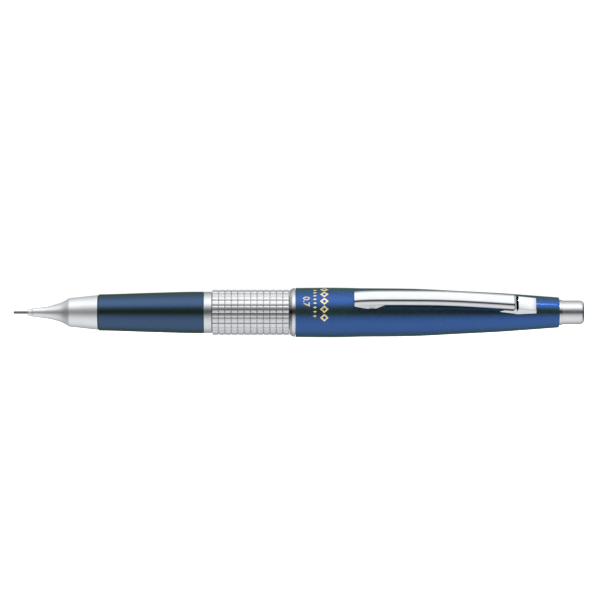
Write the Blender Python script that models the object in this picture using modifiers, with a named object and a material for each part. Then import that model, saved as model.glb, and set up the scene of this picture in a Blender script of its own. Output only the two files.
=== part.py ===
"""Mechanical pencil with a lacquered cap, a knurled ring and a pocket clip.

Run with: blender --background --python part.py

The pencil lies along +X with its lead tip towards -X. Every piece is measured in
millimetres along the pencil from the lead tip (x) and out from its axis (radius),
and hangs on an empty that sits on that axis, so each piece has its origin on the
axis that it slides along or turns about.
"""
from math import cos, pi, radians, sin

import bmesh
import bpy
from mathutils import Matrix, Vector

MM = 0.001

# Driving sizes, mm.
LENGTH = 138.0            # lead tip to button face, cap pushed home on the back
CAP_RADIUS = 6.035        # thickest place of the cap, which the pencil lies on
LEAD_RADIUS = 0.35        # 0.7 mm lead
LEAD_LENGTH = 60.0
RUN = 0.1                 # clearance between a moving piece and its guide
FIT = 0.05                # clearance between two pieces that are fixed together

# Places along the pencil, mm from the lead tip.
SLEEVE_TIP = 3.2
CONE_TIP = 3.5
CONE_SHOULDER = 13.5
CONE_END = 20.5
TENON_END = 26.0
GRIP_END = 45.9
KNURL_START = 48.1
KNURL_END = 66.7
MOUTH = 66.85
CAP_START = 68.2
CAP_END = 131.9
COLLAR_END = 132.6

# Radii that several pieces share, mm.
TENON_RADIUS = 3.4
COUPLING_RADIUS = 4.0
GRIP_RADIUS = 5.05
KNURL_RADIUS = 5.5
CAP_BORE = 5.45
TANK_RADIUS = 2.25
TANK_BORE = 1.85
INNER_BUTTON_RADIUS = 2.88
BUTTON_RADIUS = 2.89

# Knurl: cells along and around the ring.
KNURL_ROWS = 12
KNURL_FLUTES = 24
GROOVE_WIDTH = 0.25
GROOVE_DEPTH = 0.28

# The clip stands off the cap at this angle above the front of the pencil.
CLIP_ANGLE = 27.0
CLIP_WIDTH = 3.8
CLIP_TOP = 9.3
CREASE_X = 121.3
CREASE_HEIGHT = 5.2
ROOT_WIDTH = 3.6

FINE = 32                 # sides of the outer turned pieces
COARSE = 24               # sides of the small turned pieces inside

# The middle of the pencil's box is the world origin, and it lies on the floor.
CLIP_REACH = CLIP_TOP * cos(radians(CLIP_ANGLE)) + CLIP_WIDTH / 2 * sin(radians(CLIP_ANGLE))
AXIS_Y = (CLIP_REACH - CAP_RADIUS) / 2
AXIS_Z = CAP_RADIUS

# Linear colour, metallic, roughness.
FINISHES = {
    "satin_chrome": ((0.72, 0.73, 0.74), 1.0, 0.32),
    "polished_chrome": ((0.82, 0.83, 0.84), 1.0, 0.08),
    "blue_lacquer": ((0.045, 0.105, 0.215), 0.35, 0.22),
    "brass": ((0.72, 0.50, 0.20), 1.0, 0.30),
    "steel": ((0.56, 0.57, 0.58), 1.0, 0.35),
    "black_plastic": ((0.02, 0.02, 0.022), 0.0, 0.45),
    "grey_plastic": ((0.30, 0.31, 0.32), 0.0, 0.50),
    "clear_plastic": ((0.75, 0.80, 0.82), 0.0, 0.25),
    "black_rubber": ((0.015, 0.015, 0.015), 0.0, 0.80),
    "white_rubber": ((0.80, 0.79, 0.76), 0.0, 0.75),
    "graphite": ((0.035, 0.035, 0.038), 0.3, 0.55),
}


def clear_scene():
    for old in list(bpy.data.objects):
        bpy.data.objects.remove(old, do_unlink=True)


def new_collection(name):
    collection = bpy.data.collections.new(name)
    bpy.context.scene.collection.children.link(collection)
    return collection


def finish(name):
    """The material of that name, made the first time it is asked for."""
    material = bpy.data.materials.get(name)
    if material is None:
        colour, metallic, roughness = FINISHES[name]
        material = bpy.data.materials.new(name)
        material.use_nodes = True
        shader = material.node_tree.nodes["Principled BSDF"]
        shader.inputs["Base Color"].default_value = (*colour, 1.0)
        shader.inputs["Metallic"].default_value = metallic
        shader.inputs["Roughness"].default_value = roughness
        material.diffuse_color = (*colour, 1.0)
    return material


def place(obj, collection, parent, material=None):
    for holder in list(obj.users_collection):
        holder.objects.unlink(obj)
    collection.objects.link(obj)
    obj.parent = parent
    if material:
        obj.data.materials.clear()
        obj.data.materials.append(finish(material))
    return obj


def make_cutter(obj):
    place(obj, CUTTERS, obj.parent)
    obj.display_type = "WIRE"
    obj.hide_render = True
    return obj


def turned(name, outline, material, sides=FINE):
    """A piece turned about the pencil's axis from a closed outline of (x, radius).

    The outline runs from front to back on the outside, then forward on the inside.
    """
    mesh = bpy.data.meshes.new(name)
    points = [(x * MM, 0.0, radius * MM) for x, radius in reversed(outline)]
    count = len(points)
    on_axis = [abs(point[2]) < 1e-9 for point in points]
    edges = []
    for i in range(count):
        j = (i + 1) % count
        if not (on_axis[i] and on_axis[j]):
            edges.append((i, j))
    mesh.from_pydata(points, edges, [])
    obj = bpy.data.objects.new(name, mesh)
    place(obj, PARTS, AXIS, material)
    screw = obj.modifiers.new("turn", "SCREW")
    screw.axis = "X"
    screw.angle = 2 * pi
    screw.steps = sides
    screw.render_steps = sides
    screw.use_merge_vertices = True
    screw.merge_threshold = 1e-6
    return obj


def tube(name, x_front, x_back, inner, outer, material, sides=FINE):
    outline = [(x_front, outer), (x_back, outer), (x_back, inner), (x_front, inner)]
    return turned(name, outline, material, sides)


def rod(name, x_front, x_back, radius, material, sides=COARSE, offset=(0.0, 0.0)):
    """A plain cylinder along the pencil, offset (y, z) from its axis."""
    length = (x_back - x_front) * MM
    bpy.ops.mesh.primitive_cylinder_add(vertices=sides, radius=radius * MM, depth=length)
    obj = bpy.context.object
    obj.name = name
    place(obj, PARTS, AXIS, material)
    obj.rotation_euler = (0.0, pi / 2, 0.0)
    obj.location = ((x_front + x_back) / 2 * MM, offset[0] * MM, offset[1] * MM)
    return obj


def box(name, low, high, parent, collection, material=None):
    """A box between two corners in the parent's frame, in mm."""
    bpy.ops.mesh.primitive_cube_add(size=1.0)
    obj = bpy.context.object
    obj.name = name
    place(obj, collection, parent, material)
    obj.location = [(a + b) / 2 * MM for a, b in zip(low, high)]
    obj.scale = [(b - a) * MM for a, b in zip(low, high)]
    return obj


def radial_slots(name, x_front, x_back, r_inner, r_outer, width, count, start=0.0):
    """A cutter of boxes set around the axis, one for each slot."""
    bm = bmesh.new()
    size = Vector((x_back - x_front, width, r_outer - r_inner)) * MM
    centre = Vector(((x_front + x_back) / 2, 0.0, (r_inner + r_outer) / 2)) * MM
    for i in range(count):
        turn = Matrix.Rotation(start + 2 * pi * i / count, 4, "X")
        matrix = turn @ Matrix.Translation(centre) @ Matrix.Diagonal((*size, 1.0))
        bmesh.ops.create_cube(bm, size=1.0, matrix=matrix)
    mesh = bpy.data.meshes.new(name)
    bm.to_mesh(mesh)
    bm.free()
    obj = bpy.data.objects.new(name, mesh)
    place(obj, CUTTERS, AXIS)
    return make_cutter(obj)


def cut(obj, cutter, operation="DIFFERENCE"):
    boolean = obj.modifiers.new(cutter.name, "BOOLEAN")
    boolean.solver = "EXACT"
    boolean.operation = operation
    boolean.object = cutter
    return obj


def coil(name, x_front, x_back, mean_radius, wire_radius, turns, material):
    """A compression spring about the pencil's axis, its ends wound closed."""
    per_turn = 10
    steps = turns * per_turn
    curve = bpy.data.curves.new(name, "CURVE")
    curve.dimensions = "3D"
    curve.bevel_depth = wire_radius * MM
    curve.bevel_resolution = 2
    curve.use_fill_caps = True
    spline = curve.splines.new("POLY")
    spline.points.add(steps)
    first = x_front + wire_radius
    run = x_back - wire_radius - first
    for i in range(steps + 1):
        angle = 2 * pi * i / per_turn
        x = first + run * i / steps
        y = mean_radius * sin(angle)
        z = mean_radius * cos(angle)
        spline.points[i].co = (x * MM, y * MM, z * MM, 1.0)
    obj = bpy.data.objects.new(name, curve)
    return place(obj, PARTS, AXIS, material)


def make_point():
    """Cone, guide pipe and lead brake at the writing end."""
    bore = 0.5 + FIT
    brake_seat = 1.0
    head_cavity = 1.75
    cavity = 2.5
    turned("nose_cone", [
        (CONE_TIP, 0.65), (5.0, 1.15), (6.05, 1.20), (7.5, 1.38), (8.95, 1.65),
        (10.4, 2.0), (11.85, 2.55), (13.2, 3.22), (CONE_SHOULDER, 3.45),
        (16.2, 3.775), (CONE_END, 4.25),
        (CONE_END, TENON_RADIUS), (TENON_END, TENON_RADIUS), (TENON_END, cavity),
        (14.0, cavity), (14.0, head_cavity), (11.4, head_cavity), (11.4, brake_seat),
        (9.0, brake_seat), (9.0, bore), (CONE_TIP, bore),
    ], "satin_chrome")
    tube("lead_sleeve", SLEEVE_TIP, 8.0, LEAD_RADIUS + 0.07, 0.5, "steel", COARSE)
    tube("lead_brake", 9.2, 11.1, LEAD_RADIUS + 0.07, brake_seat - FIT, "black_rubber", COARSE)


def make_front_barrel():
    """Lacquered grip with its brass liner, the plain ring and the knurled ring."""
    turned("front_barrel", [
        (CONE_END + 0.1, 4.40), (25.0, 4.50), (30.7, 4.72), (35.0, 4.81),
        (39.4, 4.93), (42.3, 5.03), (GRIP_END, GRIP_RADIUS),
        (GRIP_END, COUPLING_RADIUS + FIT), (27.1, COUPLING_RADIUS + FIT),
        (27.1, TENON_RADIUS + RUN), (CONE_END + 0.1, TENON_RADIUS + RUN),
    ], "blue_lacquer")
    tube("barrel_liner", 27.3, 37.7, 3.5, COUPLING_RADIUS, "brass")
    tube("seat_ring", 46.1, 48.0, COUPLING_RADIUS + RUN, 5.025, "polished_chrome")

    bore = COUPLING_RADIUS + RUN
    floor = KNURL_RADIUS - GROOVE_DEPTH
    pitch = (KNURL_END - KNURL_START) / KNURL_ROWS
    outline = []
    for row in range(KNURL_ROWS):
        front = KNURL_START + row * pitch + (GROOVE_WIDTH / 2 if row > 0 else 0.0)
        back = KNURL_START + (row + 1) * pitch - (GROOVE_WIDTH / 2 if row < KNURL_ROWS - 1 else 0.0)
        outline += [(front, KNURL_RADIUS), (back, KNURL_RADIUS)]
        if row < KNURL_ROWS - 1:
            outline += [(back, floor), (back + GROOVE_WIDTH, floor)]
    outline += [(KNURL_END, bore), (KNURL_START, bore)]
    knurl = turned("knurled_ring", outline, "satin_chrome", KNURL_FLUTES)
    flutes = radial_slots("knurl_flutes", KNURL_START - 1, KNURL_END + 1, floor - 0.04,
                          KNURL_RADIUS + 1, GROOVE_WIDTH, KNURL_FLUTES)
    cut(knurl, flutes)


def make_rear_barrel():
    """Coupling tube, rear barrel that the cap slides on, and its end bush."""
    tube("centre_coupling", 38.0, 78.0, 3.5, COUPLING_RADIUS, "brass")
    groove_front, groove_back, groove_floor = 71.8, 73.4, 4.55
    outer = 4.98
    turned("rear_barrel", [
        (67.0, outer), (groove_front, outer), (groove_front, groove_floor),
        (groove_back, groove_floor), (groove_back, outer), (90.0, outer),
        (94.0, 4.75), (95.1, 4.3), (95.1, 3.5), (78.4, 3.5),
        (78.4, COUPLING_RADIUS + FIT), (67.0, COUPLING_RADIUS + FIT),
    ], "black_plastic")
    hole = INNER_BUTTON_RADIUS + RUN
    turned("barrel_end_bush", [
        (91.5, 3.4), (95.3, 3.4), (95.3, 4.2), (96.2, 4.2), (96.5, 3.9),
        (96.5, hole), (91.5, hole),
    ], "satin_chrome")


def make_feed():
    """Clutch, chuck, spring, lead tank and inner button: what a press moves."""
    housing_bore = 1.9
    front_hole = 1.25
    turned("chuck_housing", [
        (16.9, 2.4), (26.1, 2.4), (26.1, 3.35), (27.0, 3.35), (27.0, 2.4), (32.0, 2.4),
        (32.0, housing_bore), (17.9, housing_bore), (17.9, front_hole), (16.9, front_hole),
    ], "brass", COARSE)
    tube("clutch_ring", 14.6, 16.6, 1.55, 2.3, "brass", COARSE)

    shank = 0.95
    lead_way = LEAD_RADIUS + 0.07
    chuck = turned("chuck", [
        (13.6, 1.1), (14.3, 1.45), (16.0, 1.45), (16.8, shank), (33.0, shank),
        (33.0, lead_way), (13.6, lead_way),
    ], "brass", COARSE)
    cut(chuck, radial_slots("jaw_slits", 13.0, 22.0, 0.0, 2.0, 0.2, 3, radians(7)))
    turned("chuck_connector", [
        (30.2, 1.8), (36.0, 1.8), (36.0, 0.5), (33.2, 0.5), (33.2, shank + FIT),
        (30.2, shank + FIT),
    ], "brass", COARSE)
    coil("return_spring", 18.0, 30.1, 1.42, 0.15, 8, "steel")

    tube("lead_tank", 34.4, 97.6, TANK_BORE, TANK_RADIUS, "clear_plastic", COARSE)
    rod("writing_lead", 0.0, LEAD_LENGTH, LEAD_RADIUS, "graphite", 12)
    spare_front = 36.1
    spare_ring = 1.2
    for i in range(3):
        angle = radians(90 + 120 * i)
        offset = (spare_ring * cos(angle), spare_ring * sin(angle))
        rod(f"spare_lead_{i + 1}", spare_front, spare_front + LEAD_LENGTH, LEAD_RADIUS,
            "graphite", 12, offset)

    turned("eraser_holder", [
        (96.3, 0.0), (96.3, 1.78), (97.7, 1.78), (97.7, 2.2), (100.5, 2.2),
        (100.5, 1.85), (98.3, 1.85), (98.3, 0.0),
    ], "steel", COARSE)
    rod("eraser", 98.4, 102.3, 1.78, "white_rubber")
    turned("inner_button", [
        (90.0, INNER_BUTTON_RADIUS), (103.2, INNER_BUTTON_RADIUS), (103.6, 2.5),
        (103.6, 0.0), (102.6, 0.0), (102.6, TANK_RADIUS + FIT), (90.0, TANK_RADIUS + FIT),
    ], "satin_chrome", COARSE)


def cap_outline():
    """Outer side of the cap from its mouth to its end: a belly, then a long taper."""
    return [
        (CAP_START, 5.94), (68.6, 5.99), (72.8, 5.99), (74.5, CAP_RADIUS), (78.0, CAP_RADIUS),
        (80.5, 5.985), (84.4, 5.89), (87.0, 5.85), (93.0, 5.84), (96.0, 5.77),
        (100.4, 5.61), (106.2, 5.29), (112.0, 5.0), (117.8, 4.69), (123.6, 4.28),
        (129.4, 3.85), (131.7, 3.69), (CAP_END, 3.55),
    ]


def make_cap():
    """Lacquered cap with its mouth ring, liner, guide and end bush."""
    bush_bore = 3.13
    cap = turned("cap_tube", cap_outline() + [
        (CAP_END, bush_bore), (129.2, bush_bore), (129.2, 3.32), (123.6, 3.6), (117.8, 3.98),
        (112.0, 4.28), (106.2, 4.58), (100.4, 4.93), (98.6, CAP_BORE), (CAP_START, CAP_BORE),
    ], "blue_lacquer")
    slot = box("clip_slot", (CREASE_X + 1.2, -1.0, 2.9), (CREASE_X + 4.4, 1.0, 6.0), CLIP_PLANE, CUTTERS)
    cut(cap, make_cutter(slot))
    turned("cap_mouth_ring", [
        (MOUTH, 5.55), (67.55, 5.90), (68.1, 5.90), (68.1, CAP_BORE - FIT),
        (69.1, CAP_BORE - FIT), (69.1, 5.12), (MOUTH, 5.12),
    ], "polished_chrome")
    tube("cap_liner", 69.4, 98.0, 5.15, CAP_BORE - FIT, "brass")
    turned("cap_guide_bush", [
        (118.0, 3.85), (121.0, 3.62), (121.0, 1.75), (118.0, 1.75),
    ], "grey_plastic", COARSE)
    turned("cap_end_bush", [
        (129.4, 3.08), (COLLAR_END, 3.08), (COLLAR_END, BUTTON_RADIUS + FIT),
        (128.2, BUTTON_RADIUS + FIT), (128.2, 3.25), (129.1, 3.25), (129.1, 3.08),
    ], "polished_chrome")

    bpy.ops.mesh.primitive_torus_add(major_radius=4.84 * MM, minor_radius=0.25 * MM,
                                     major_segments=FINE, minor_segments=8)
    ring = bpy.context.object
    ring.name = "cap_friction_ring"
    place(ring, PARTS, AXIS, "black_rubber")
    ring.rotation_euler = (0.0, pi / 2, 0.0)
    ring.location = (72.6 * MM, 0.0, 0.0)


def make_cap_button():
    """Push button at the end of the cap, its pusher and its spring."""
    bore = 1.65
    turned("cap_button", [
        (127.0, 3.1), (128.0, 3.1), (128.0, BUTTON_RADIUS), (137.0, BUTTON_RADIUS),
        (137.6, 2.75), (LENGTH, 2.35), (LENGTH, 0.0), (133.0, 0.0), (133.0, bore), (127.0, bore),
    ], "satin_chrome")
    turned("pusher", [
        (103.9, 3.1), (117.0, 3.1), (117.0, 1.6), (132.6, 1.6), (132.6, 0.0),
        (116.0, 0.0), (116.0, 2.45), (103.9, 2.45),
    ], "grey_plastic", COARSE)
    coil("button_spring", 121.2, 126.9, 2.3, 0.18, 5, "steel")


def extruded(name, outline, width, parent, material):
    """A flat outline of (x, height) given a width across the clip's own plane."""
    curve = bpy.data.curves.new(name, "CURVE")
    curve.dimensions = "2D"
    curve.fill_mode = "BOTH"
    curve.extrude = width / 2 * MM
    spline = curve.splines.new("POLY")
    spline.points.add(len(outline) - 1)
    for point, (x, height) in zip(spline.points, outline):
        point.co = (x * MM, height * MM, 0.0, 1.0)
    spline.use_cyclic_u = True
    obj = bpy.data.objects.new(name, curve)
    place(obj, PARTS, parent, material)
    obj.rotation_euler = (pi / 2, 0.0, 0.0)
    return obj


def as_mesh(obj):
    """The same piece as a mesh with its caps welded, ready to be cut."""
    name = obj.name
    bpy.context.view_layer.update()
    mesh = bpy.data.meshes.new_from_object(obj.evaluated_get(bpy.context.evaluated_depsgraph_get()))
    bm = bmesh.new()
    bm.from_mesh(mesh)
    bmesh.ops.remove_doubles(bm, verts=bm.verts, dist=1e-7)
    bm.to_mesh(mesh)
    bm.free()
    solid = bpy.data.objects.new(name + "_solid", mesh)
    PARTS.objects.link(solid)
    solid.parent = obj.parent
    solid.matrix_world = obj.matrix_world.copy()
    bpy.data.objects.remove(obj, do_unlink=True)
    solid.name = name
    return solid


def make_clip():
    """Spring clip: an arm that lifts at the crease, and the root that holds it."""
    top = [(82.4, 8.3), (82.9, 8.8), (85.0, 9.1), (88.0, CLIP_TOP), (97.0, CLIP_TOP),
           (100.7, 9.2), (105.6, 8.85), (110.4, 8.35), (115.3, 7.7), (121.1, 6.7)]
    underside = [(121.1, 5.05), (118.0, 5.3), (115.3, 5.85), (110.4, 6.85), (105.6, 7.45),
                 (100.7, 7.85), (91.2, 8.0), (89.6, 7.0), (87.8, 6.3), (85.8, 6.25),
                 (83.9, 6.7), (82.4, 7.5)]
    from_crease = [(x - CREASE_X, height - CREASE_HEIGHT) for x, height in top + underside]
    extruded("clip_arm", from_crease, CLIP_WIDTH, CLIP_HINGE, "polished_chrome")

    root = as_mesh(extruded("clip_root", [
        (117.4, 3.2), (117.4, 4.1), (118.4, 4.8), (121.4, 4.9), (121.6, 5.75),
        (126.3, 4.45), (126.3, 3.2),
    ], ROOT_WIDTH, CLIP_PLANE, "polished_chrome"))
    saddle = turned("clip_saddle", [(x, radius + FIT) for x, radius in cap_outline()]
                    + [(CAP_END, 0.0), (CAP_START, 0.0)], "polished_chrome")
    cut(root, make_cutter(saddle))
    tang = box("clip_tang", (CREASE_X + 1.3, -0.9, 3.25), (CREASE_X + 4.3, 0.9, 4.4),
               CLIP_PLANE, CUTTERS)
    cut(root, make_cutter(tang), "UNION")


clear_scene()
PARTS = new_collection("mechanical_pencil")
CUTTERS = new_collection("cutters")

AXIS = bpy.data.objects.new("pencil_axis", None)
PARTS.objects.link(AXIS)
AXIS.location = Vector((-LENGTH / 2, AXIS_Y, AXIS_Z)) * MM

# Turned so that its own +Z points straight out through the clip.
CLIP_PLANE = bpy.data.objects.new("clip_plane", None)
PARTS.objects.link(CLIP_PLANE)
CLIP_PLANE.parent = AXIS
CLIP_PLANE.rotation_euler = (radians(90.0 - CLIP_ANGLE), 0.0, 0.0)

CLIP_HINGE = bpy.data.objects.new("clip_hinge", None)
PARTS.objects.link(CLIP_HINGE)
CLIP_HINGE.parent = CLIP_PLANE
CLIP_HINGE.location = (CREASE_X * MM, 0.0, CREASE_HEIGHT * MM)

make_point()
make_front_barrel()
make_rear_barrel()
make_feed()
make_cap()
make_cap_button()
make_clip()
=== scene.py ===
from math import atan2, cos, hypot, pi, radians, sin, sqrt

import bmesh
import bpy
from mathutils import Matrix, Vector


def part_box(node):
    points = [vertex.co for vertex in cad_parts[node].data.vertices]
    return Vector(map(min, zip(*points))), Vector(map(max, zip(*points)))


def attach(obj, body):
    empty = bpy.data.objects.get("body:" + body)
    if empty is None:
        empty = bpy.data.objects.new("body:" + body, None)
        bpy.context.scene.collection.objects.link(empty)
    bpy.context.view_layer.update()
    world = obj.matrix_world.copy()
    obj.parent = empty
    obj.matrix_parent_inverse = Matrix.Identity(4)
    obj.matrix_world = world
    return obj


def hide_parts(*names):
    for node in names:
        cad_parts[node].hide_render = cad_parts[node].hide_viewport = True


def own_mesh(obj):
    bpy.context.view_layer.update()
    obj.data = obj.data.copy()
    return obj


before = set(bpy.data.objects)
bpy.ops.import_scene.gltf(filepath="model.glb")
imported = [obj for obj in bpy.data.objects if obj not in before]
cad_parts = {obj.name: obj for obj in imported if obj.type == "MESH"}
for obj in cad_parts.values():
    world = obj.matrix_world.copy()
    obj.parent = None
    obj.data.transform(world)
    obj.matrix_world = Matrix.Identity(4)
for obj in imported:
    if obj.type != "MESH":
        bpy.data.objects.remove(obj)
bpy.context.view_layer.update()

# Everything on this pencil is turned about one line, so places are given as x, the
# distance in millimetres from the lead tip, and r, the distance out from that line.
MM = 0.001
cone_low, cone_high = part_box("nose_cone")
TIP_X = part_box("writing_lead")[0].x
AXIS_Y = (cone_low.y + cone_high.y) / 2
AXIS_Z = (cone_low.z + cone_high.z) / 2


# ---------------------------------------------------------------- nose cone
# The cone is turned from brass bar on a lathe, drilled for the guide pipe, plated
# with satin chrome and screwed into the front barrel. Its tip flares like a horn up
# to a sharp shoulder, and from there a plain taper meets the barrel.

def at(x, r):
    """The point x mm behind the lead tip and r mm above the pencil's axis."""
    return Vector((TIP_X + x * MM, AXIS_Y, AXIS_Z + r * MM))


def softened(outline, cuts):
    """The outline with the corners that cuts names, {corner number: mm}, rounded off."""
    result = []
    count = len(outline)
    for i, corner in enumerate(outline):
        cut = cuts.get(i, 0.0)
        if cut == 0.0:
            result.append(corner)
            continue
        corner = Vector(corner)
        before = Vector(outline[i - 1])
        after = Vector(outline[(i + 1) % count])
        start = corner + (before - corner).normalized() * cut
        end = corner + (after - corner).normalized() * cut
        for step in range(5):
            t = step / 4
            point = start * (1 - t) ** 2 + corner * 2 * t * (1 - t) + end * t ** 2
            result.append(tuple(point))
    return result


def flow(points, steps=5):
    """A smooth line through the points, so that a turned curve has no flats."""
    result = [points[0]]
    for i in range(len(points) - 1):
        here, there = Vector(points[i]), Vector(points[i + 1])
        span = there.x - here.x
        before = Vector(points[i - 1]) if i > 0 else here
        after = Vector(points[i + 2]) if i + 2 < len(points) else there
        slope_in = (there.y - before.y) / (there.x - before.x)
        slope_out = (after.y - here.y) / (after.x - here.x)
        for step in range(1, steps + 1):
            t = step / steps
            y = ((2 * t ** 3 - 3 * t ** 2 + 1) * here.y + (t ** 3 - 2 * t ** 2 + t) * span * slope_in
                 + (3 * t ** 2 - 2 * t ** 3) * there.y + (t ** 3 - t ** 2) * span * slope_out)
            result.append((here.x + span * t, y))
    return result


def turn(name, outline, sides=128, crease=28):
    """Draw half of the outline of (x, r) as a wire, spin it about the axis and close it."""
    bpy.ops.object.select_all(action="DESELECT")
    bpy.ops.mesh.primitive_plane_add(size=MM, location=at(*outline[0]))
    piece = bpy.context.object
    piece.name = name
    bpy.ops.object.transform_apply(location=True, rotation=True, scale=True)
    bpy.ops.object.mode_set(mode="EDIT")
    bpy.ops.mesh.select_all(action="SELECT")
    bpy.ops.mesh.merge(type="CENTER")
    for here, there in zip(outline, outline[1:]):
        step = at(*there) - at(*here)
        bpy.ops.mesh.extrude_vertices_move(TRANSFORM_OT_translate={"value": step})
    if outline[0][1] > 0.0:
        wire = bmesh.from_edit_mesh(piece.data)
        for vert in wire.verts:
            vert.select = len(vert.link_edges) == 1
        bmesh.update_edit_mesh(piece.data)
        bpy.ops.mesh.edge_face_add()
    bpy.ops.mesh.select_all(action="SELECT")
    bpy.ops.mesh.spin(steps=sides, angle=2 * pi, center=at(0, 0), axis=(1, 0, 0))
    bpy.ops.mesh.select_all(action="SELECT")
    bpy.ops.mesh.remove_doubles(threshold=0.002 * MM)
    bpy.ops.mesh.normals_make_consistent(inside=False)
    bpy.ops.object.mode_set(mode="OBJECT")
    bpy.ops.object.shade_smooth_by_angle(angle=radians(crease))
    return piece


def ring_outline(x_front, x_back, inner, outer, edge=0.1):
    """The outline of a plain tube whose four rims are broken by a small round."""
    corners = [(x_front, outer), (x_back, outer), (x_back, inner), (x_front, inner)]
    return softened(corners, {0: edge, 1: edge, 2: edge / 2, 3: edge / 2})


def settle(piece, material, body, slot, *nodes):
    """Give a finished piece its material, its body and the node that it stands for."""
    piece.data.materials.clear()
    piece.data.materials.append(material)
    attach(piece, body)
    if nodes:
        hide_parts(*nodes)


def new_material(name, colour, metallic, roughness):
    """A material with plain values on its shader, for the finishes to build on."""
    material = bpy.data.materials.new(name)
    material.use_nodes = True
    shader = material.node_tree.nodes["Principled BSDF"]
    shader.inputs["Base Color"].default_value = (*colour, 1.0)
    shader.inputs["Metallic"].default_value = metallic
    shader.inputs["Roughness"].default_value = roughness
    return material, shader


def grain(material, scale, detail=3.0):
    """Noise in the piece's own space, with a scale per metre along x, y and z."""
    nodes, links = material.node_tree.nodes, material.node_tree.links
    place = nodes.new("ShaderNodeTexCoord")
    mapping = nodes.new("ShaderNodeMapping")
    mapping.inputs["Scale"].default_value = scale
    noise = nodes.new("ShaderNodeTexNoise")
    noise.inputs["Scale"].default_value = 1.0
    noise.inputs["Detail"].default_value = detail
    links.new(place.outputs["Object"], mapping.inputs["Vector"])
    links.new(mapping.outputs["Vector"], noise.inputs["Vector"])
    return noise.outputs["Fac"]


def spread(material, value, low, high):
    """A value read as a number between low and high."""
    nodes, links = material.node_tree.nodes, material.node_tree.links
    ramp = nodes.new("ShaderNodeMapRange")
    ramp.inputs["From Min"].default_value = 0.25
    ramp.inputs["From Max"].default_value = 0.75
    ramp.inputs["To Min"].default_value = low
    ramp.inputs["To Max"].default_value = high
    links.new(value, ramp.inputs["Value"])
    return ramp.outputs["Result"]


def tinted(material, value, dark, light, start=0.3, end=0.7):
    """A value read as a colour between dark and light."""
    nodes, links = material.node_tree.nodes, material.node_tree.links
    ramp = nodes.new("ShaderNodeValToRGB")
    ramp.color_ramp.elements[0].position = start
    ramp.color_ramp.elements[0].color = (*dark, 1.0)
    ramp.color_ramp.elements[1].position = end
    ramp.color_ramp.elements[1].color = (*light, 1.0)
    links.new(value, ramp.inputs["Fac"])
    return ramp.outputs["Color"]


def bumped(material, shader, height, depth):
    """Raise the surface by a height of 0 to 1 times depth, in mm."""
    nodes, links = material.node_tree.nodes, material.node_tree.links
    bump = nodes.new("ShaderNodeBump")
    bump.inputs["Strength"].default_value = 1.0
    bump.inputs["Distance"].default_value = depth * MM
    links.new(height, bump.inputs["Height"])
    links.new(bump.outputs["Normal"], shader.inputs["Normal"])


def scaled(colour, factor):
    """The colour, made darker or lighter."""
    return tuple(channel * factor for channel in colour)


def turned_metal(name, colour, roughness, ring=7000.0, wear=0.04):
    """Lathe-turned metal: fine rings about the axis, and a little uneven polish."""
    material, shader = new_material(name, colour, 1.0, roughness)
    links = material.node_tree.links
    rings = grain(material, (ring, ring * 0.02, ring * 0.02))
    patches = grain(material, (160.0, 260.0, 260.0), 4.0)
    links.new(tinted(material, patches, scaled(colour, 0.94), scaled(colour, 1.03)),
              shader.inputs["Base Color"])
    links.new(spread(material, rings, roughness - wear, roughness + wear),
              shader.inputs["Roughness"])
    bumped(material, shader, rings, 0.0006)
    return material


SATIN = turned_metal("satin chrome", (0.92, 0.93, 0.94), 0.46)

GUIDE_BORE = 0.55
horn = flow([(5.0, 1.12), (7.5, 1.38), (8.95, 1.65), (10.4, 2.0), (11.85, 2.52), (13.45, 3.42)])
cone = ([(3.5, GUIDE_BORE), (3.5, 0.74), (3.6, 0.82), (4.5, 0.93), (4.66, 1.07)] + horn
        + [(13.6, 3.48), (17.0, 3.85), (20.42, 4.22), (20.5, 4.14), (20.5, 3.4), (25.8, 3.4),
           (26.0, 3.2), (26.0, 2.5), (14.0, 2.5), (14.0, 1.75), (11.4, 1.75), (11.4, 1.0),
           (9.0, 1.0), (9.0, GUIDE_BORE)])
nose_cone = turn("nose_cone", cone, crease=13)
settle(nose_cone, SATIN, "barrel", "satin_chrome", "nose_cone")


# ---------------------------------------------------------------- guide pipe
# A thin-walled steel pipe guides the lead out of the cone, and ends just past its tip.
# It is drawn tube, cut to length, deburred and pressed into the bore of the cone.

STEEL = turned_metal("drawn steel", (0.50, 0.51, 0.52), 0.26, ring=3000.0)
PIPE_BORE, PIPE_RADIUS = 0.42, 0.5
pipe = softened([(3.2, PIPE_RADIUS), (8.0, PIPE_RADIUS), (8.0, PIPE_BORE), (3.2, PIPE_BORE)],
                {0: 0.05, 1: 0.05, 2: 0.02, 3: 0.02})
settle(turn("guide_pipe", pipe, 48), STEEL, "barrel", "steel", "lead_sleeve")


# ---------------------------------------------------------------- writing lead
# A stick of fired graphite and polymer, 0.7 mm thick, that runs from the point up
# through the chuck into the tank. Its tip is rounded a little by writing.

def graphite_finish(name):
    """Fired lead: nearly black, with the grey gleam of pressed graphite."""
    colour = (0.10, 0.10, 0.105)
    material, shader = new_material(name, colour, 0.4, 0.5)
    links = material.node_tree.links
    speck = grain(material, (9000.0, 14000.0, 14000.0), 5.0)
    links.new(tinted(material, speck, scaled(colour, 0.6), scaled(colour, 1.9)),
              shader.inputs["Base Color"])
    links.new(spread(material, speck, 0.38, 0.62), shader.inputs["Roughness"])
    bumped(material, shader, speck, 0.004)
    return material


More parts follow.
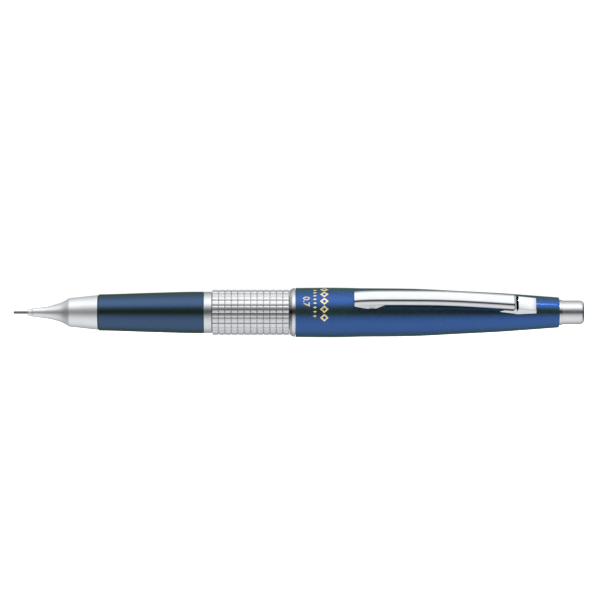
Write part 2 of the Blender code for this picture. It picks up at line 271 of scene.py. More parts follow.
GRAPHITE = graphite_finish("graphite")
LEAD_RADIUS, LEAD_LENGTH = 0.35, 60.0
stick = softened([(0.0, 0.0), (0.0, LEAD_RADIUS), (LEAD_LENGTH, LEAD_RADIUS), (LEAD_LENGTH, 0.0)],
                 {1: 0.18, 2: 0.04})
settle(turn("writing_lead", stick, 32), GRAPHITE, "lead", "graphite", "writing_lead")


# ---------------------------------------------------------------- lead brake
# A moulded ring of black rubber sits behind the guide pipe and drags on the lead, so
# that it doesn't slide back while the jaws return for the next bite.

def rubber_finish(name, colour, roughness):
    """Moulded rubber: matt, with a fine talc bloom."""
    material, shader = new_material(name, colour, 0.0, roughness)
    links = material.node_tree.links
    bloom = grain(material, (2500.0, 2500.0, 2500.0), 5.0)
    links.new(tinted(material, bloom, scaled(colour, 0.75), scaled(colour, 1.5)),
              shader.inputs["Base Color"])
    links.new(spread(material, bloom, roughness - 0.1, roughness + 0.1), shader.inputs["Roughness"])
    bumped(material, shader, bloom, 0.01)
    return material


def repaint(node, material):
    """Give a carried-over node its own finish."""
    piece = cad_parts[node]
    piece.data.materials.clear()
    piece.data.materials.append(material)


BLACK_RUBBER = rubber_finish("black rubber", (0.016, 0.016, 0.016), 0.75)
repaint("lead_brake", BLACK_RUBBER)


# ---------------------------------------------------------------- chuck and clutch
# Three brass jaws, slit from one turned rod, grip the lead. The clutch ring holds
# them shut until the press has carried them forward, and the housing behind guides
# them. All of it is turned from free-cutting brass and left bright.

BRASS = turned_metal("turned brass", (0.66, 0.46, 0.19), 0.27, ring=5000.0, wear=0.06)
for node in ("chuck", "chuck_connector", "chuck_housing", "clutch_ring"):
    repaint(node, BRASS)


# ---------------------------------------------------------------- springs
# Two compression springs are coiled from spring steel wire, with the ends wound
# closed. The stiff one returns the chuck, and the soft one holds the button out.

SPRING_WIRE = turned_metal("spring wire", (0.42, 0.42, 0.43), 0.24, ring=2500.0)


def spring(name, front, back, coil_radius, wire_radius, turns):
    """Wind wire about the axis, close together in the first and last turns."""
    wire = bpy.data.curves.new(name, "CURVE")
    wire.dimensions = "3D"
    wire.bevel_depth = wire_radius * MM
    wire.bevel_resolution = 3
    wire.use_fill_caps = True
    steps_a_turn = 24
    count = turns * steps_a_turn
    line = wire.splines.new("POLY")
    line.points.add(count)
    first, last = front + wire_radius, back - wire_radius
    closed = 2.2 * wire_radius
    for i in range(count + 1):
        turned = i / steps_a_turn
        open_share = min(max((turned - 1.0) / (turns - 2.0), 0.0), 1.0)
        ends = min(turned, 1.0) + max(turned - (turns - 1.0), 0.0)
        x = first + closed * ends + (last - first - 2 * closed) * open_share
        y, z = coil_radius * sin(2 * pi * turned), coil_radius * cos(2 * pi * turned)
        line.points[i].co = (TIP_X + x * MM, AXIS_Y + y * MM, AXIS_Z + z * MM, 1.0)
    piece = bpy.data.objects.new(name, wire)
    bpy.context.scene.collection.objects.link(piece)
    bpy.ops.object.select_all(action="DESELECT")
    bpy.context.view_layer.objects.active = piece
    piece.select_set(True)
    bpy.ops.object.convert(target="MESH")
    piece = bpy.context.object
    bpy.ops.object.mode_set(mode="EDIT")
    bpy.ops.mesh.select_all(action="SELECT")
    bpy.ops.mesh.remove_doubles(threshold=0.0005 * MM)
    bpy.ops.mesh.normals_make_consistent(inside=False)
    bpy.ops.object.mode_set(mode="OBJECT")
    bpy.ops.object.shade_smooth_by_angle(angle=radians(40))
    return piece


def fit_spring(name, body, front, back, coil_radius, wire_radius, turns):
    """Put a spring in its place, wound between the front and back given."""
    piece = spring(name + "_coil", front, back, coil_radius, wire_radius, turns)
    settle(piece, SPRING_WIRE, body, "steel", name)
    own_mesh(piece)


fit_spring("return_spring", "barrel", 18.0, 30.1, 1.42, 0.15, 8)
fit_spring("button_spring", "cap", 121.2, 126.9, 2.3, 0.18, 5)


# ---------------------------------------------------------------- front barrel
# The grip is a drawn metal tube, slightly fatter towards the back, sprayed with a
# deep blue metallic lacquer and a clear gloss coat, and rolled in at both ends.

def lacquer(name, colour, haze):
    """Blue metallic lacquer: aluminium flake in a tinted coat, under a hard clear gloss."""
    material, shader = new_material(name, colour, 1.0, 0.17)
    links = material.node_tree.links
    flake = material.node_tree.nodes.new("ShaderNodeTexVoronoi")
    place = material.node_tree.nodes.new("ShaderNodeTexCoord")
    flake.inputs["Scale"].default_value = 14000.0
    links.new(place.outputs["Object"], flake.inputs["Vector"])
    links.new(tinted(material, flake.outputs["Distance"], scaled(colour, 1.10),
                     scaled(colour, 0.86), 0.0, 0.8), shader.inputs["Base Color"])
    cloud = grain(material, (350.0, 350.0, 350.0), 2.0)
    links.new(spread(material, cloud, 0.15, 0.19), shader.inputs["Roughness"])
    bumped(material, shader, grain(material, (900.0, 900.0, 900.0), 1.0), 0.0015)
    shader.inputs["Specular Tint"].default_value = (0.45, 0.55, 0.35, 1.0)
    shader.inputs["Coat Weight"].default_value = 0.3
    shader.inputs["Coat Roughness"].default_value = 0.06
    shader.inputs["Sheen Weight"].default_value = haze
    shader.inputs["Sheen Roughness"].default_value = 1.0
    shader.inputs["Sheen Tint"].default_value = (0.35, 0.60, 0.14, 1.0)
    return material


BLUE = lacquer("blue lacquer", (0.018, 0.076, 0.315), 0.12)
GRIP_BLUE = lacquer("grip lacquer", (0.037, 0.077, 0.180), 0.06)
grip = flow([(20.75, 4.40), (25.0, 4.50), (30.7, 4.70), (36.0, 4.86), (42.3, 5.03), (45.9, 5.05)])
front_barrel = ([(20.6, 3.5), (20.6, 4.28)] + grip
                + [(46.06, 4.93), (46.06, 4.05), (27.1, 4.05), (27.1, 3.5)])
settle(turn("front_barrel", front_barrel), GRIP_BLUE, "barrel", "blue_lacquer", "front_barrel")


# ---------------------------------------------------------------- liner and coupling
# A brass liner stiffens the grip, and a longer tube behind it, plated with dark nickel,
# ties the two barrels together and carries the two rings. Both are turned and glued in.

repaint("barrel_liner", BRASS)
repaint("centre_coupling", turned_metal("dark nickel", (0.20, 0.19, 0.18), 0.45))


# ---------------------------------------------------------------- plain ring
# A narrow ring of buffed chrome on brass covers the joint behind the grip. It is
# the seat that the cap's mouth closes on when the cap is worn over the point.

def polished(name, colour, roughness=0.07):
    """Bright chrome over a buffed base, with the faint marks of handling."""
    material, shader = new_material(name, colour, 1.0, roughness)
    links = material.node_tree.links
    haze = grain(material, (420.0, 420.0, 420.0), 4.0)
    buff = grain(material, (900.0, 5200.0, 5200.0), 2.0)
    links.new(spread(material, haze, roughness - 0.03, roughness + 0.04), shader.inputs["Roughness"])
    links.new(tinted(material, haze, scaled(colour, 0.97), scaled(colour, 1.02)),
              shader.inputs["Base Color"])
    bumped(material, shader, buff, 0.0003)
    return material


CHROME = polished("polished chrome", (0.73, 0.74, 0.75))
BRIGHT_SATIN = turned_metal("bright satin chrome", (0.78, 0.79, 0.80), 0.30)
RING_BORE = 4.1
settle(turn("plain_ring", ring_outline(46.1, 48.0, RING_BORE, 5.025)), BRIGHT_SATIN,
       "barrel", "polished_chrome", "seat_ring")


# ---------------------------------------------------------------- knurled ring
# The grip ring is turned from bar and cut into twelve rows of small square pads,
# first by a grooving tool and then by a cutter along each of twenty-four flutes.
# It is plated after cutting, so the edges of the pads are slightly rounded.

KNURL_FRONT, KNURL_BACK = 48.1, 66.7
KNURL_RADIUS, KNURL_FLOOR, FLUTE_FLOOR = 5.5, 5.22, 5.29
ROWS, FLUTES, STEPS_A_PAD = 12, 24, 12
FIRST_FLUTE = 2     # in steps, so that a flute runs just above the middle of the side facing you
pitch = (KNURL_BACK - KNURL_FRONT) / ROWS
shoulder = [(0.09, KNURL_RADIUS - 0.10), (0.15, KNURL_RADIUS - 0.035), (0.25, KNURL_RADIUS - 0.008),
            (0.50, KNURL_RADIUS)]
rows = [(KNURL_FRONT, KNURL_FLOOR)]
for row in range(ROWS):
    front = KNURL_FRONT + row * pitch
    rows += [(front + inset, radius) for inset, radius in shoulder]
    rows += [(front + pitch - inset, radius) for inset, radius in reversed(shoulder)]
    rows.append((front + pitch, KNURL_FLOOR))
knurl = turn("knurled_ring", [(KNURL_FRONT, RING_BORE)] + rows + [(KNURL_BACK, RING_BORE)],
             FLUTES * STEPS_A_PAD)


def press_in(piece, steps_from_flute, radius):
    """Bring every pad vertex that far from a flute's middle down to the radius."""
    bpy.ops.object.select_all(action="DESELECT")
    bpy.context.view_layer.objects.active = piece
    piece.select_set(True)
    bpy.ops.object.mode_set(mode="EDIT")
    bpy.ops.mesh.select_mode(type="VERT")
    wire = bmesh.from_edit_mesh(piece.data)
    for vert in wire.verts:
        y, z = vert.co.y - AXIS_Y, vert.co.z - AXIS_Z
        step = round(atan2(y, z) / (2 * pi) * FLUTES * STEPS_A_PAD) - FIRST_FLUTE
        away = min(step % STEPS_A_PAD, -step % STEPS_A_PAD)
        vert.select = away == steps_from_flute and hypot(y, z) > (KNURL_RADIUS - 0.11) * MM
    wire.select_flush_mode()
    bmesh.update_edit_mesh(piece.data)
    factor = radius / KNURL_RADIUS
    bpy.ops.transform.resize(value=(1.0, factor, factor), center_override=at(0, 0))
    bpy.ops.object.mode_set(mode="OBJECT")


press_in(knurl, 0, FLUTE_FLOOR)
press_in(knurl, 1, KNURL_RADIUS - 0.06)
press_in(knurl, 2, KNURL_RADIUS - 0.012)
settle(knurl, BRIGHT_SATIN, "barrel", "satin_chrome", "knurled_ring")


# ---------------------------------------------------------------- rear barrel
# The cap slides on this moulded barrel. It is black, with a groove for the friction
# ring near its front end, and it closes on a plated bush that guides the feed.

def moulded(name, colour, roughness):
    """Injection-moulded plastic: a fine spark-eroded grain and a slight flow pattern."""
    material, shader = new_material(name, colour, 0.0, roughness)
    links = material.node_tree.links
    sparkle = grain(material, (5000.0, 5000.0, 5000.0), 3.0)
    streaks = grain(material, (60.0, 600.0, 600.0), 2.0)
    links.new(tinted(material, streaks, scaled(colour, 0.85), scaled(colour, 1.2)),
              shader.inputs["Base Color"])
    links.new(spread(material, sparkle, roughness - 0.06, roughness + 0.06),
              shader.inputs["Roughness"])
    bumped(material, shader, sparkle, 0.002)
    return material


BLACK_PLASTIC = moulded("black plastic", (0.020, 0.020, 0.022), 0.34)
REAR_RADIUS = 4.98
rear = softened([(67.0, 4.05), (67.0, REAR_RADIUS), (71.8, REAR_RADIUS), (71.8, 4.55), (73.4, 4.55),
                 (73.4, REAR_RADIUS), (90.0, REAR_RADIUS), (94.0, 4.75), (95.1, 4.3), (95.1, 3.5),
                 (78.4, 3.5), (78.4, 4.05)],
                {1: 0.2, 2: 0.1, 3: 0.1, 4: 0.1, 5: 0.1, 6: 1.0, 7: 0.8, 8: 0.3})
settle(turn("rear_barrel", rear), BLACK_PLASTIC, "barrel", "black_plastic", "rear_barrel")
end_bush = softened([(91.5, 2.98), (91.5, 3.4), (95.3, 3.4), (95.3, 4.2), (96.2, 4.2), (96.5, 3.9),
                     (96.5, 2.98)], {3: 0.08, 4: 0.15, 5: 0.1, 6: 0.1})
settle(turn("barrel_end_bush", end_bush), SATIN, "barrel", "satin_chrome", "barrel_end_bush")


# ---------------------------------------------------------------- lead tank and spare leads
# A clear extruded tube, pushed over the connector, holds the spare leads. The whole
# tank is carried forward with the chuck at each press.

def clear_finish(name, colour):
    """Extruded clear plastic: faint lines along its length from the die."""
    material, shader = new_material(name, colour, 0.0, 0.22)
    links = material.node_tree.links
    lines = grain(material, (40.0, 3800.0, 3800.0), 2.0)
    links.new(tinted(material, lines, scaled(colour, 0.90), colour), shader.inputs["Base Color"])
    links.new(spread(material, lines, 0.16, 0.28), shader.inputs["Roughness"])
    bumped(material, shader, lines, 0.002)
    shader.inputs["Transmission Weight"].default_value = 0.6
    return material


repaint("lead_tank", clear_finish("clear tube", (0.74, 0.80, 0.82)))
for number in (1, 2, 3):
    repaint(f"spare_lead_{number}", GRAPHITE)


# ---------------------------------------------------------------- eraser and inner button
# A short white eraser stands in a pressed steel holder that plugs the tank. The inner
# button is a drawn cap pushed over both, and it is pressed directly when the cap is off.

WHITE_RUBBER = rubber_finish("white eraser", (0.78, 0.77, 0.74), 0.8)
repaint("eraser", WHITE_RUBBER)
repaint("eraser_holder", STEEL)
INNER_BUTTON_RADIUS = 2.88
inner = softened([(90.0, 2.3), (90.0, INNER_BUTTON_RADIUS), (103.6, INNER_BUTTON_RADIUS),
                  (103.6, 0.0), (102.6, 0.0), (102.6, 2.3)], {1: 0.1, 2: 0.55})
settle(turn("inner_button", inner), SATIN, "feed", "satin_chrome", "inner_button")


# ---------------------------------------------------------------- friction ring
# A rubber O-ring in the groove of the rear barrel holds the cap by friction. It is
# moulded in one piece and stretched into its groove.

ring_low, ring_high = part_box("cap_friction_ring")
CORD_RADIUS = (ring_high.x - ring_low.x) / 2 / MM
ring_middle = (ring_low.x + ring_high.x) / 2 / MM - TIP_X / MM
ring_centre = (ring_high.z - AXIS_Z) / MM - CORD_RADIUS
circle = []
for step in range(16):
    angle = 2 * pi * step / 16
    circle.append((ring_middle + CORD_RADIUS * cos(angle), ring_centre + CORD_RADIUS * sin(angle)))
settle(turn("friction_ring", circle), BLACK_RUBBER, "friction_ring", "black_rubber",
       "cap_friction_ring")


# ---------------------------------------------------------------- cap mouth ring and liner
# The mouth of the cap is protected by a chrome ring with a bevelled front and a
# narrow bright lip. A thin brass liner behind it slides on the friction ring.

mouth = softened([(66.75, 5.12), (66.75, 5.38), (67.5, 5.86), (68.12, 5.92), (68.12, 5.40),
                  (69.1, 5.40), (69.1, 5.12)], {0: 0.05, 1: 0.05, 2: 0.16, 3: 0.05})
settle(turn("cap_mouth_ring", mouth), CHROME, "cap", "polished_chrome", "cap_mouth_ring")
settle(turn("cap_liner", ring_outline(69.4, 98.0, 5.15, 5.4, 0.05)), BRASS, "cap", "brass",
       "cap_liner")


# ---------------------------------------------------------------- cap
# The cap is drawn from metal sheet over a mandrel: a low belly behind the mouth and a
# long taper to the button. It is lacquered like the grip, and cut off square behind.

belly = flow([(68.45, 5.97), (72.0, 5.995), (76.0, 6.03), (80.5, 5.985), (84.4, 5.89),
              (90.0, 5.85), (96.0, 5.77), (100.4, 5.61), (106.2, 5.29), (112.0, 5.0),
              (117.8, 4.69), (123.6, 4.28), (129.4, 3.85), (131.65, 3.68)])
cap_wall = ([(68.2, 5.45), (68.2, 5.88)] + belly
            + [(131.85, 3.60), (131.9, 3.50), (131.9, 3.13), (129.2, 3.13), (129.2, 3.32),
               (123.6, 3.6), (117.8, 3.98), (112.0, 4.28), (106.2, 4.58), (100.4, 4.93),
               (98.6, 5.45)])
cap = turn("cap_tube", cap_wall, 144)
settle(cap, BLUE, "cap", "blue_lacquer", "cap_tube")
repaint("cap_guide_bush", moulded("grey plastic", (0.30, 0.31, 0.32), 0.45))


def cap_radius(x):
    """The cap's outer radius at x, read off its own outline."""
    for (x0, r0), (x1, r1) in zip(belly, belly[1:]):
        if x0 <= x <= x1:
            return r0 + (r1 - r0) * (x - x0) / (x1 - x0)
    return belly[-1][1]


# ---------------------------------------------------------------- gold print
# The lead size and a plain ornament are hot-stamped on the cap in gold foil, turned
# so that they read around it, on the side that faces you with the clip above.

def foil(name):
    """Hot-stamped gold foil: bright, a little broken at its edges."""
    colour = (0.96, 0.80, 0.46)
    material, shader = new_material(name, colour, 0.5, 0.32)
    links = material.node_tree.links
    wear = grain(material, (4200.0, 4200.0, 4200.0), 4.0)
    links.new(tinted(material, wear, scaled(colour, 0.75), scaled(colour, 1.12)),
              shader.inputs["Base Color"])
    links.new(spread(material, wear, 0.24, 0.42), shader.inputs["Roughness"])
    bumped(material, shader, wear, 0.002)
    return material


GOLD = foil("gold foil")
FOIL_THICK, FOIL_GAP, SLICE = 0.02, 0.004, 0.25


def wrap(piece, x_front, low_angle):
    """Lay a flat stamp, drawn with x along the cap and y around it, onto the cap."""
    bpy.ops.object.select_all(action="DESELECT")
    bpy.context.view_layer.objects.active = piece
    piece.select_set(True)
    bpy.ops.object.transform_apply(location=True, rotation=True, scale=True)
    reach = max(abs(vert.co.y) for vert in piece.data.vertices)
    bpy.ops.object.mode_set(mode="EDIT")
    slices = int(reach / (SLICE * MM)) + 1
    for i in range(-slices, slices + 1):
        bpy.ops.mesh.select_all(action="SELECT")
        bpy.ops.mesh.bisect(plane_co=(0.0, i * SLICE * MM, 0.0), plane_no=(0.0, 1.0, 0.0))
    bpy.ops.object.mode_set(mode="OBJECT")
    for vert in piece.data.vertices:
        x = x_front + vert.co.x / MM
        radius = cap_radius(x)
        angle = low_angle + vert.co.y / MM / radius
        out = (radius + FOIL_GAP) * MM + vert.co.z
        vert.co = (TIP_X + x * MM, AXIS_Y - out * cos(angle), AXIS_Z + out * sin(angle))
    bpy.ops.object.mode_set(mode="EDIT")
    bpy.ops.mesh.select_all(action="SELECT")
    bpy.ops.mesh.remove_doubles(threshold=0.0005 * MM)
    bpy.ops.mesh.normals_make_consistent(inside=False)
    bpy.ops.object.mode_set(mode="OBJECT")


def stamp(name, shape, x_front, angle):
    """Thicken a flat shape into foil and lay it on the cap."""
    solidify = shape.modifiers.new("foil", "SOLIDIFY")
    solidify.thickness = FOIL_THICK * MM
    solidify.offset = 1.0
    bpy.ops.object.select_all(action="DESELECT")
    bpy.context.view_layer.objects.active = shape
    shape.select_set(True)
    bpy.ops.object.modifier_apply(modifier=solidify.name)
    wrap(shape, x_front, angle)
    shape.name = name
    settle(shape, GOLD, "cap", "blue_lacquer")


MARK_HEIGHT, MARK_WEIGHT = 1.55, 0.045
CAPITAL_SHARE = 0.7     # of the type's size that a figure stands high
bpy.ops.object.select_all(action="DESELECT")
bpy.ops.object.text_add(location=(0.0, 0.0, 0.0), rotation=(0.0, 0.0, -pi / 2))
mark = bpy.context.object
mark.data.body = "0.7"
mark.data.size = MARK_HEIGHT * MM / CAPITAL_SHARE
mark.data.align_x = "CENTER"
mark.data.offset = MARK_WEIGHT * MM
mark.data.resolution_u = 6
bpy.ops.object.convert(target="MESH")
stamp("size_mark", mark, 70.1, radians(27.0))


def lozenge(length, width, hole):
    """A flat four-sided frame, drawn by insetting a turned square."""
    bpy.ops.object.select_all(action="DESELECT")
    bpy.ops.mesh.primitive_plane_add(size=MM, rotation=(0.0, 0.0, pi / 4))
    piece = bpy.context.object
    bpy.ops.object.transform_apply(location=True, rotation=True, scale=True)
    bpy.ops.object.mode_set(mode="EDIT")
    bpy.ops.mesh.select_all(action="SELECT")
    bpy.ops.transform.resize(value=(length / sqrt(2), width / sqrt(2), 1.0))
    if hole > 0.0:
        bpy.ops.mesh.inset(thickness=hole * MM, depth=0.0)
        bpy.ops.mesh.delete(type="FACE")
    bpy.ops.object.mode_set(mode="OBJECT")
    return piece


# One row of large open lozenges and one of small solid ones run down the cap from
# nearly the top: (name, how many, length, width, frame, x, first angle, angle between).
for name, count, length, width, hole, x, first, between in [
        ("gold_lozenge", 5, 2.1, 1.9, 0.36, 75.15, 66.0, 19.5),
        ("gold_spark", 8, 0.95, 0.50, 0.0, 72.9, 62.0, 10.0)]:
    for number in range(count):
        angle = radians(first - between * number)
        stamp(f"{name}_{number + 1}", lozenge(length, width, hole), x, angle)


# ---------------------------------------------------------------- end bush and button
# A polished bush closes the cap and shows as a thin bright collar. The satin push
# button slides in it, with a rounded rim, and a moulded pusher carries the press on.

BUTTON_RADIUS = 2.89
end_collar = softened([(128.2, 2.94), (128.2, 3.25), (129.1, 3.25), (129.1, 3.08), (132.6, 3.08),
                       (132.6, 2.94)], {4: 0.06, 5: 0.04})
settle(turn("cap_end_bush", end_collar), CHROME, "cap", "polished_chrome", "cap_end_bush")
button = softened([(133.0, 0.0), (133.0, 1.65), (127.0, 1.65), (127.0, 3.1), (128.0, 3.1),
                   (128.0, BUTTON_RADIUS), (137.0, BUTTON_RADIUS), (137.55, 2.72), (137.95, 2.30),
                   (138.0, 0.0)], {6: 0.25, 7: 0.2, 8: 0.2})
settle(turn("cap_button", button), BRIGHT_SATIN, "button", "satin_chrome", "cap_button")
repaint("pusher", bpy.data.materials["grey plastic"])


# ---------------------------------------------------------------- clip
# The clip is pressed from spring bronze and chromed bright: a bowed bar with a flat
# face and rounded edges, a heel under its free end that grips the cloth, and two
# small grooves where it bends. Its root block straddles the cap and is riveted in.

CLIP_ANGLE = radians(27.0)
CLIP_WIDTH = 3.8
CLIP_ROUND = 1.16
ARM_FRONT, ARM_BACK = 82.35, 120.87
arm_top = flow([(ARM_FRONT, 8.34), (84.0, 8.64), (88.0, 8.88), (94.0, 8.90), (100.7, 8.80),
                (105.6, 8.52), (110.4, 8.02), (115.3, 7.42), (ARM_BACK, 6.62)], 3)
arm_under = flow([(ARM_FRONT, 7.16), (83.1, 6.94), (84.0, 6.72), (85.2, 6.48), (86.4, 6.38),
                  (87.5, 6.48), (88.3, 6.80), (89.0, 7.20), (89.7, 7.45), (91.0, 7.52),
                  (94.0, 7.60), (100.7, 7.46), (105.6, 7.12), (110.4, 6.56), (115.3, 5.74),
                  (ARM_BACK, 4.95)], 3)


def height_at(line, x):
    """The height of a line of (x, height) at x."""
    for (x0, h0), (x1, h1) in zip(line, line[1:]):
        if x0 <= x <= x1:
            return h0 + (h1 - h0) * (x - x0) / (x1 - x0)
    return line[-1][1]


def bar(name, width, stations):
    """Extrude a block through stations of (x, underside, top) along the pencil."""
    x, under, top = stations[0]
    nose = 0.05
    bpy.ops.object.select_all(action="DESELECT")
    bpy.ops.mesh.primitive_cube_add(size=1.0, location=((x + nose / 2) * MM, 0.0, (under + top) / 2 * MM))
    piece = bpy.context.object
    piece.name = name
    piece.scale = (nose * MM, width * MM, (top - under) * MM)
    bpy.ops.object.transform_apply(location=True, rotation=True, scale=True)
    bpy.ops.object.mode_set(mode="EDIT")
    bpy.ops.mesh.select_mode(type="FACE")
    block = bmesh.from_edit_mesh(piece.data)
    for face in block.faces:
        face.select = face.normal.x > 0.9
    bmesh.update_edit_mesh(piece.data)
    here = Vector((x + nose, 0.0, (under + top) / 2))
    tall = top - under
    for x, under, top in stations[1:]:
        there = Vector((x, 0.0, (under + top) / 2))
        bpy.ops.mesh.extrude_region_move(TRANSFORM_OT_translate={"value": (there - here) * MM})
        bpy.ops.transform.resize(value=(1.0, 1.0, (top - under) / tall), center_override=there * MM)
        here, tall = there, top - under
    bpy.ops.object.mode_set(mode="OBJECT")
    return piece


def round_edges(piece, chosen, width, segments):
    """Bevel the sharp edges whose middle and direction pass the test, in the clip's own frame."""
    bpy.ops.object.select_all(action="DESELECT")
    bpy.context.view_layer.objects.active = piece
    piece.select_set(True)
    bpy.ops.object.mode_set(mode="EDIT")
    bpy.ops.mesh.select_mode(type="EDGE")
    bpy.ops.mesh.select_all(action="DESELECT")
    block = bmesh.from_edit_mesh(piece.data)
    for edge in block.edges:
        sharp = edge.is_manifold and edge.calc_face_angle() > radians(40)
        start, end = (vert.co / MM for vert in edge.verts)
        edge.select = sharp and chosen((start + end) / 2, end - start)
    bmesh.update_edit_mesh(piece.data)
    bpy.ops.mesh.bevel(offset=width * MM, segments=segments, affect="EDGES", clamp_overlap=False)
    bpy.ops.object.mode_set(mode="OBJECT")


def stand_on_cap(piece):
    """Turn a piece from the clip's own frame to its place on the cap."""
    bpy.ops.object.select_all(action="DESELECT")
    bpy.context.view_layer.objects.active = piece
    piece.select_set(True)
    piece.rotation_euler = (pi / 2 - CLIP_ANGLE, 0.0, 0.0)
    piece.location = at(0, 0)
    bpy.ops.object.transform_apply(location=True, rotation=True, scale=True)
    bpy.ops.object.shade_smooth_by_angle(angle=radians(35))


stations = []
for x in sorted({x for x, _ in arm_top + arm_under}):
    if not stations or x - stations[-1][0] > 0.15:
        stations.append((x, height_at(arm_under, x), height_at(arm_top, x)))
arm = bar("clip_arm", CLIP_WIDTH, stations)


def is_long(along):
    """Whether an edge runs along the clip and not across it."""
    return abs(along.y) < 0.01


round_edges(arm, lambda place, along: is_long(along) and place.z > height_at(arm_top, place.x) - 0.1,
            CLIP_ROUND, 8)

# The heel spreads a little towards its foot, so that its sides catch the light.
HEEL_TOP, HEEL_SPREAD = 7.45, 0.16
for vert in arm.data.vertices:
    depth = HEEL_TOP - vert.co.z / MM
    if depth > 0.0 and vert.co.x / MM < 91.0:
        vert.co.y *= 1.0 + HEEL_SPREAD * depth
round_edges(arm, lambda place, along: is_long(along) and place.z < height_at(arm_under, place.x) + 0.1,
            0.16, 3)
round_edges(arm, lambda place, along: place.x < ARM_FRONT + 0.001, 0.04, 2)
stand_on_cap(arm)
settle(arm, CHROME, "clip", "polished_chrome", "clip_arm")

ROOT_WIDTH, SIDE_FLARE = 3.35, 0.42
FOOT = 3.4
root_top = [(117.0, 5.00), (121.9, 5.32), (126.2, 4.38)]
root = bar("clip_root", ROOT_WIDTH, [
    (117.2, FOOT, 4.15), (117.7, FOOT, 4.48), (118.5, FOOT, 4.74), (120.3, FOOT, 4.66),
    (120.9, FOOT, 4.60), (121.14, FOOT, 5.60), (121.26, FOOT, 5.58), (121.60, FOOT, 4.56),
    (121.88, FOOT, 5.20), (121.93, FOOT, 5.31), (126.2, FOOT, 4.38)])

# Its sides spread towards the cap, and each lies in one plane.
for vert in root.data.vertices:
    depth = max(0.0, height_at(root_top, vert.co.x / MM) - vert.co.z / MM)
    side = ROOT_WIDTH / 2 + SIDE_FLARE * depth
    vert.co.y = side * MM if vert.co.y > 0.0 else -side * MM
round_edges(root, lambda place, along: place.x > 121.9 and place.z > 4.3, 0.05, 2)
stand_on_cap(root)
settle(root, CHROME, "cap", "polished_chrome", "clip_root")

# The walls and floors of the two grooves, on either side of a narrow ridge, get a near-black chrome:
# painted shade for the darkness down in the grooves.
GROOVES_FRONT, GROOVES_BACK = 120.7, 121.9
RIDGE_FRONT, RIDGE_BACK = 121.15, 121.25
# Near-black chrome that paints the shade down in the grooves.
GROOVE_SHADE_CHROME = turned_metal("painted groove shade", (0.07, 0.07, 0.075), 0.45)
root.data.materials.append(GROOVE_SHADE_CHROME)
sideways = Vector((0.0, sin(CLIP_ANGLE), cos(CLIP_ANGLE)))
for face in root.data.polygons:
    place = (face.center.x - TIP_X) / MM
    in_groove = GROOVES_FRONT < place < GROOVES_BACK and not RIDGE_FRONT < place < RIDGE_BACK
    if in_groove and abs(face.normal.dot(sideways)) < 0.5:
        face.material_index = 1


# ---------------------------------------------------------------- studio
# The pencil lies on a plain white sheet inside a long white tent, which is brightest
# overhead, and whose open front leaves a dark line along every polished side.

def white_sheet(name):
    """Paper-white floor that glows a little, as a sheet lit from below does."""
    material, shader = new_material(name, (0.86, 0.86, 0.86), 0.0, 0.9)
    nodes, links = material.node_tree.nodes, material.node_tree.links
    path = nodes.new("ShaderNodeLightPath")
    glow = nodes.new("ShaderNodeMapRange")
    glow.inputs["To Min"].default_value = 0.42
    glow.inputs["To Max"].default_value = 0.80
    links.new(path.outputs["Is Camera Ray"], glow.inputs["Value"])
    shader.inputs["Emission Color"].default_value = (1.0, 1.0, 1.0, 1.0)
    shader.inputs["Specular IOR Level"].default_value = 0.0
    links.new(glow.outputs["Result"], shader.inputs["Emission Strength"])
    return material


SHEET_SIZE = 12.0
bpy.ops.object.select_all(action="DESELECT")
bpy.ops.mesh.primitive_plane_add(size=SHEET_SIZE, location=(0.0, 0.0, -0.02 * MM))
sheet = bpy.context.object
sheet.name = "sheet"
sheet.data.materials.append(white_sheet("white sheet"))
sheet.visible_glossy = False


def sun(name, energy, size, elevation, side):
    """A far lamp in front of the pencil, at an elevation and with its light from that side."""
    light = bpy.data.lights.new(name, "SUN")
    light.energy = energy
    light.angle = radians(size)
    lamp = bpy.data.objects.new(name, light)
    bpy.context.scene.collection.objects.link(lamp)
    aim = Vector((-side, cos(radians(elevation)), -sin(radians(elevation))))
    lamp.rotation_euler = aim.to_track_quat("-Z", "Y").to_euler()
    return lamp


# A wide soft fill lights the matt pieces only. A small lamp, a little to the right,
# draws the fine streak along the cap's steepest taper.
sun("fill", 1.5, 120.0, 80.0, 0.0).visible_glossy = False
sun("streak", 0.05, 3.0, 62.0, 0.17)

# How bright the tent is at each angle round the pencil: 0 is the open front, 90 is
# straight up, 180 the back, and -90 straight down.
TENT = [(-180, 0.50), (-160, 0.46), (-140, 0.36), (-120, 0.50), (-104, 0.76), (-84, 0.90), (-60, 0.95),
        (-42, 0.86), (-28, 0.68), (-18, 0.46), (-10, 0.20), (-3, 0.05), (8, 0.04), (18, 0.12),
        (28, 0.42), (40, 1.02), (52, 1.32), (66, 1.42), (80, 1.26), (92, 1.00), (106, 0.76),
        (122, 0.64), (140, 0.36), (160, 0.40), (180, 0.50)]
BRIGHTEST, PAPER = 1.5, 0.70
DIM_FROM, DIM_TO, DIM_SHARE = 0.55, 0.90, 0.14     # the tent fades towards its two ends
world = bpy.data.worlds.new("studio")
bpy.context.scene.world = world
world.use_nodes = True
world_nodes, world_links = world.node_tree.nodes, world.node_tree.links
background = world_nodes["Background"]
direction = world_nodes.new("ShaderNodeTexCoord")
parts = world_nodes.new("ShaderNodeSeparateXYZ")
forward = world_nodes.new("ShaderNodeMath")
forward.operation = "MULTIPLY"
forward.inputs[1].default_value = -1.0
turned = world_nodes.new("ShaderNodeMath")
turned.operation = "ARCTAN2"
round_angle = world_nodes.new("ShaderNodeMapRange")
round_angle.inputs["From Min"].default_value = -pi
round_angle.inputs["From Max"].default_value = pi
tent = world_nodes.new("ShaderNodeValToRGB")
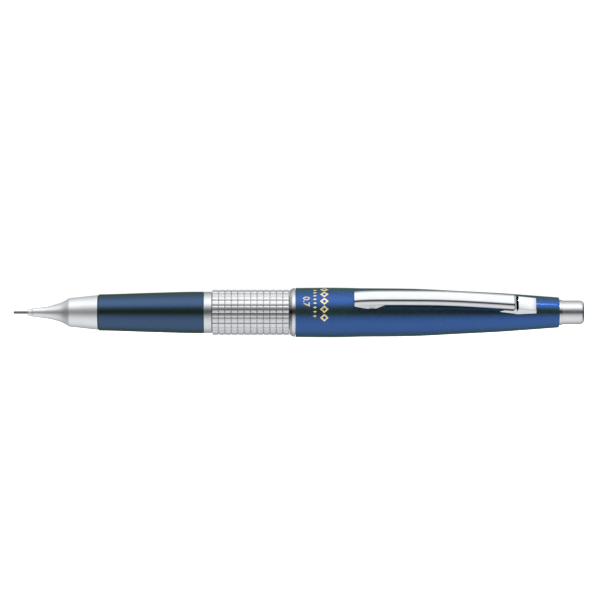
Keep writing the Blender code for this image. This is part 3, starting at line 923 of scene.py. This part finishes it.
for number, (angle, brightness) in enumerate(TENT):
    place = angle / 360 + 0.5
    stop = tent.color_ramp.elements.new(place) if 0 < number < len(TENT) - 1 else None
    if stop is None:
        stop = tent.color_ramp.elements[0 if number == 0 else -1]
        stop.position = place
    level = brightness / BRIGHTEST
    stop.color = (level * 0.985, level, level * 1.015, 1.0)
across = world_nodes.new("ShaderNodeMath")
across.operation = "ABSOLUTE"
ends = world_nodes.new("ShaderNodeMapRange")
ends.inputs["From Min"].default_value = DIM_FROM
ends.inputs["From Max"].default_value = DIM_TO
ends.inputs["To Min"].default_value = 1.0
ends.inputs["To Max"].default_value = DIM_SHARE
dimmed = world_nodes.new("ShaderNodeVectorMath")
dimmed.operation = "SCALE"
path = world_nodes.new("ShaderNodeLightPath")
white = world_nodes.new("ShaderNodeMix")
white.data_type = "RGBA"
white.inputs["B"].default_value = (PAPER, PAPER, PAPER, 1.0)
world_links.new(direction.outputs["Generated"], parts.inputs["Vector"])
world_links.new(parts.outputs["Y"], forward.inputs[0])
world_links.new(parts.outputs["Z"], turned.inputs[0])
world_links.new(forward.outputs["Value"], turned.inputs[1])
world_links.new(turned.outputs["Value"], round_angle.inputs["Value"])
world_links.new(round_angle.outputs["Result"], tent.inputs["Fac"])
world_links.new(path.outputs["Is Camera Ray"], white.inputs["Factor"])
world_links.new(parts.outputs["X"], across.inputs[0])
world_links.new(across.outputs["Value"], ends.inputs["Value"])
world_links.new(tent.outputs["Color"], dimmed.inputs[0])
world_links.new(ends.outputs["Result"], dimmed.inputs["Scale"])
world_links.new(dimmed.outputs["Vector"], white.inputs["A"])
world_links.new(white.outputs["Result"], background.inputs["Color"])
background.inputs["Strength"].default_value = BRIGHTEST
bpy.context.scene.view_settings.view_transform = "Standard"

CAMERA_DISTANCE = 0.94
VIEW_WIDTH = 0.1451
CAMERA_SHIFT, CAMERA_LIFT = 0.0003, 0.00302
lens = bpy.data.cameras.new("camera")
lens.lens = lens.sensor_width * CAMERA_DISTANCE / VIEW_WIDTH
lens.clip_start = 0.01
camera = bpy.data.objects.new("camera", lens)
bpy.context.scene.collection.objects.link(camera)
camera.location = (CAMERA_SHIFT, AXIS_Y - CAMERA_DISTANCE, AXIS_Z + CAMERA_LIFT)
camera.rotation_euler = (pi / 2, 0.0, 0.0)
bpy.context.scene.camera = camera
